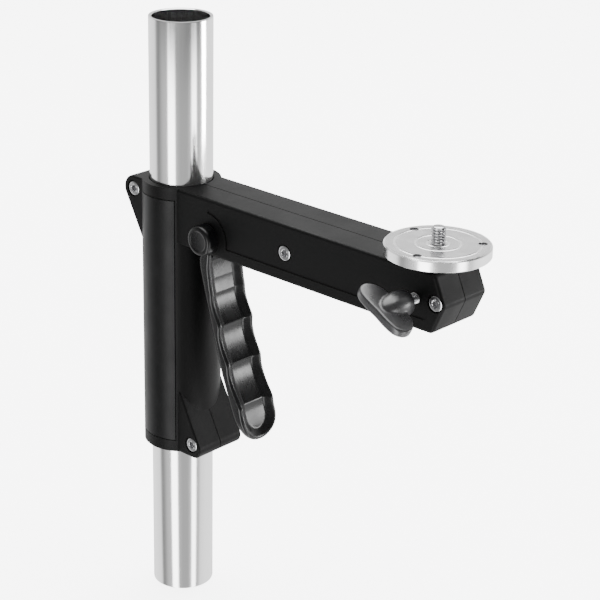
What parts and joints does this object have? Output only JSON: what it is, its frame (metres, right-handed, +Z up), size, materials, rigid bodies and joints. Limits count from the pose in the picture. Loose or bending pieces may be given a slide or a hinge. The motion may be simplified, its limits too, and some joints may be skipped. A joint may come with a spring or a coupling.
{
  "type": "column with sliding camera arm",
  "caption": "Round studio stand column section with a lever-braked sliding arm that carries a turning camera platform with a threaded stud.",
  "frame": {"origin": "centre of the column's lower end", "axes": "+Z up the column, +X along the arm towards the platform, -Y the side with the wing screw"},
  "size_m": [0.2023, 0.0635, 0.292],
  "materials": {
    "column": "bright drawn and plated tube",
    "casting": "fine-textured satin black powder coat",
    "cover": "satin black moulded plastic",
    "lever": "satin black moulded plastic",
    "cap": "satin black moulded plastic",
    "knob": "semi-gloss dark grey plastic",
    "steel": "turned steel",
    "fastener": "bright plated steel",
    "platform": "turned aluminium",
    "bush": "natural acetal",
    "spindle_bush": "black acetal",
    "lining": "moulded friction lining",
    "shoe": "cast aluminium",
    "brass": "turned brass"
  },
  "bodies": {
    "column": {"column_tube": "column"},
    "glide": {"lower_guide_bush": "bush", "upper_guide_bush": "bush"},
    "carriage": {"front_shell": "casting", "rear_shell": "casting", "sleeve_cover": "cover", "shell_screws": "fastener", "shell_nuts": "steel", "lever_pivot_pin": "steel", "front_pivot_cap": "cap", "rear_pivot_cap": "cap", "return_spring": "steel", "upper_spindle_bush": "spindle_bush", "lower_spindle_bush": "spindle_bush", "screw_insert": "brass"},
    "handle": {"lever": "lever"},
    "brake": {"brake_shoe": "shoe", "brake_lining": "lining"},
    "platform": {"platform_disc": "platform", "camera_stud": "fastener", "platform_set_screws": "steel", "platform_spindle": "steel", "spindle_clip": "steel"},
    "clamp": {"clamp_plug": "brass"},
    "wing": {"wing_screw": "fastener", "wing_knob": "knob"}
  },
  "joints": [
    {"name": "carriage_slide", "type": "slide", "parent": "column", "child": "glide", "axis": [0, 0, 1], "range_m": [-0.07, 0.07]},
    {"name": "carriage_turn", "type": "hinge", "parent": "glide", "child": "carriage", "pos_m": [0, 0, 0.0793], "axis": [0, 0, 1], "continuous": true},
    {"name": "lever_squeeze", "type": "hinge", "parent": "carriage", "child": "handle", "pos_m": [0.0319, 0, 0.1954], "axis": [0, 1, 0], "range_deg": [0, 12], "stiffness_Nm_per_rad": 0.9, "springref_deg": -8},
    {"name": "brake_slide", "type": "slide", "parent": "carriage", "child": "brake", "axis": [1, 0, 0], "range_m": [0, 0.001]},
    {"name": "platform_turn", "type": "hinge", "parent": "carriage", "child": "platform", "pos_m": [0.155, 0, 0.2145], "axis": [0, 0, 1], "continuous": true},
    {"name": "clamp_slide", "type": "slide", "parent": "carriage", "child": "clamp", "axis": [0, -1, 0], "range_m": [0, 0.0016]},
    {"name": "wing_screw_turn", "type": "hinge", "parent": "clamp", "child": "wing", "pos_m": [0.155, -0.02, 0.201], "axis": [0, -1, 0], "range_deg": [0, 720]}
  ],
  "couplings": [
    {"joint": "brake_slide", "follows": "lever_squeeze", "m_per_rad": 0.0047747},
    {"joint": "clamp_slide", "follows": "wing_screw_turn", "m_per_rad": 0.00012732}
  ]
}
